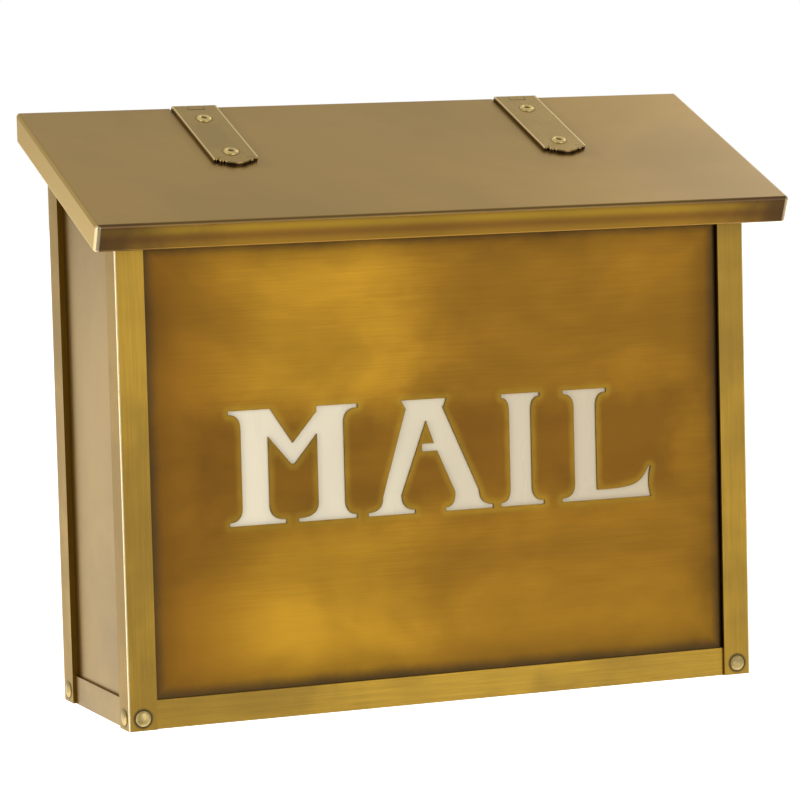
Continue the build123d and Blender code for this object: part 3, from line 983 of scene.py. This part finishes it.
class MAILBOX_OT_rivets(bpy.types.Operator):
    """Rivets"""

    bl_idname = "mailbox.rivets"
    bl_label = "Rivets"

    def execute(self, context):
        colours = context.scene.mailbox_colours
        gold = aged_brass(
            "rivet_brass",
            colours.rivet_gold,
            scaled(colours.rivet_gold, 0.45),
            stretch=(300.0, 300.0, 300.0),
            cloud_scale=260.0,
            grain=0.00012,
            roughness=(0.42, 0.58),
        )
        for name in NODES:
            if name.endswith("rivets"):
                wear(name, gold)

        def pits(tree, place):
            """Painted shade in the pits of the strap's rivets."""
            off = from_strap(tree, place)[1]
            return remap(tree, off, 1.4 * MM, 2.1 * MM, 1.0, 0.0)

        eyelet_gold = aged_brass(
            "eyelet_brass",
            scaled(colours.rivet_gold, 1.15),
            scaled(colours.rivet_gold, 0.8),
            stretch=(300.0, 300.0, 300.0),
            cloud_scale=260.0,
            shading=[(pits, 0.92, (0.05, 0.03, 0.01))],
        )
        for side in ("left", "right"):
            node = f"{side}_strap_rivets"
            middle = strap_rivets_middle(side)
            bm = bmesh.new()
            for step in (-0.5, 0.5):
                self.eyelet(bm, Vector((middle.x, middle.y + step * STRAP_RIVET_SPACING, 0)))
            lift = Matrix.Translation((0, LID_LOW.y, LID_TOP)) @ Matrix.Rotation(LID_SLOPE, 4, "X")
            bmesh.ops.transform(bm, matrix=lift, verts=bm.verts)
            bmesh.ops.remove_doubles(bm, verts=bm.verts, dist=0.005 * MM)
            bmesh.ops.recalc_face_normals(bm, faces=bm.faces)
            for face in bm.faces:
                face.smooth = True
            piece_from(bm, f"{side}_strap_eyelets", "lid", [node], eyelet_gold)
        return {"FINISHED"}

    def eyelet(self, bm, spot):
        """One hollow headed rivet: a rounded rim round a pit, its shank and its flattened tail."""
        profile = (
            (0.0, 2.1), (1.0, 2.12), (1.6, 2.5), (2.05, 3.1), (2.7, 3.4), (3.4, 3.2),
            (3.95, 2.75), (4.2, 2.25), (4.25, 1.98), (1.95, 1.98), (1.95, -1.25),
            (2.8, -1.25), (2.7, -1.55), (2.2, -1.75), (0.0, -1.85),
        )
        verts = [bm.verts.new(spot + Vector((r * MM, 0, h * MM))) for r, h in profile]
        edges = [bm.edges.new(pair) for pair in zip(verts, verts[1:])]
        bmesh.ops.spin(
            bm,
            geom=verts + edges,
            cent=spot,
            axis=(0, 0, 1),
            dvec=(0, 0, 0),
            angle=2 * pi,
            steps=40,
            use_merge=True,
            use_duplicate=False,
        )


class MAILBOX_OT_glass(bpy.types.Operator):
    """Cream glass and its clips"""

    bl_idname = "mailbox.glass"
    bl_label = "Letter glass"

    def execute(self, context):
        colours = context.scene.mailbox_colours
        material, tree, shader, place = start_material("cream_glass")
        swirl = clouds_mask(tree, place, 26.0, (1.0, 1.0, 0.35))
        pale = tuple(min(1.0, 1.12 * c) for c in colours.glass_cream)
        colour = blend_colours(tree, swirl, rgb(colours.glass_cream), rgb(pale))
        deeper = remap(tree, axes(tree, place)[0], -110 * MM, 120 * MM, 0.0, 0.75)
        shade = tuple(c * k for c, k in zip(colours.glass_cream, (0.76, 0.68, 0.58)))
        colour = blend_colours(tree, deeper, colour, rgb(shade))
        rough = remap(tree, swirl, 0.0, 1.0, 0.18, 0.30, smooth=False)
        connect(tree, shader, {"Base Color": colour, "Roughness": rough, "Coat Weight": 0.3})
        wear("letter_glass", material)
        clip = aged_brass(
            "clip_brass",
            colours.frame_gold,
            colours.front_brown,
            stretch=(40.0, 40.0, 600.0),
            cloud_scale=40.0,
        )
        wear("glass_clips", clip)
        return {"FINISHED"}


class MAILBOX_PT_panel(bpy.types.Panel):
    """Lists the builders in the sidebar"""

    bl_idname = "MAILBOX_PT_panel"
    bl_label = "Wall Mailbox"
    bl_space_type = "VIEW_3D"
    bl_region_type = "UI"
    bl_category = "Mailbox"

    def draw(self, context):
        for group in (context.scene.mailbox_sizes, context.scene.mailbox_colours):
            for name in type(group).__annotations__:
                self.layout.prop(group, name)
        for operator in OPERATORS:
            self.layout.operator(operator.bl_idname)


OPERATORS = (
    MAILBOX_OT_stage,
    MAILBOX_OT_lid,
    MAILBOX_OT_front,
    MAILBOX_OT_frame,
    MAILBOX_OT_sheets,
    MAILBOX_OT_hinges,
    MAILBOX_OT_rivets,
    MAILBOX_OT_glass,
)
CLASSES = (MailboxSizes, MailboxColours, *OPERATORS, MAILBOX_PT_panel)


def register():
    """Add the classes and their settings."""
    for cls in CLASSES:
        bpy.utils.register_class(cls)
    bpy.types.Scene.mailbox_sizes = PointerProperty(type=MailboxSizes)
    bpy.types.Scene.mailbox_colours = PointerProperty(type=MailboxColours)


def unregister():
    """Take them away again."""
    del bpy.types.Scene.mailbox_colours
    del bpy.types.Scene.mailbox_sizes
    for cls in reversed(CLASSES):
        bpy.utils.unregister_class(cls)


def main():
    """Register the classes, then build everything in order."""
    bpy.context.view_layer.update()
    register()
    for operator in OPERATORS:
        group, name = operator.bl_idname.split(".")
        getattr(getattr(bpy.ops, group), name)()


if __name__ == "__main__":
    main()
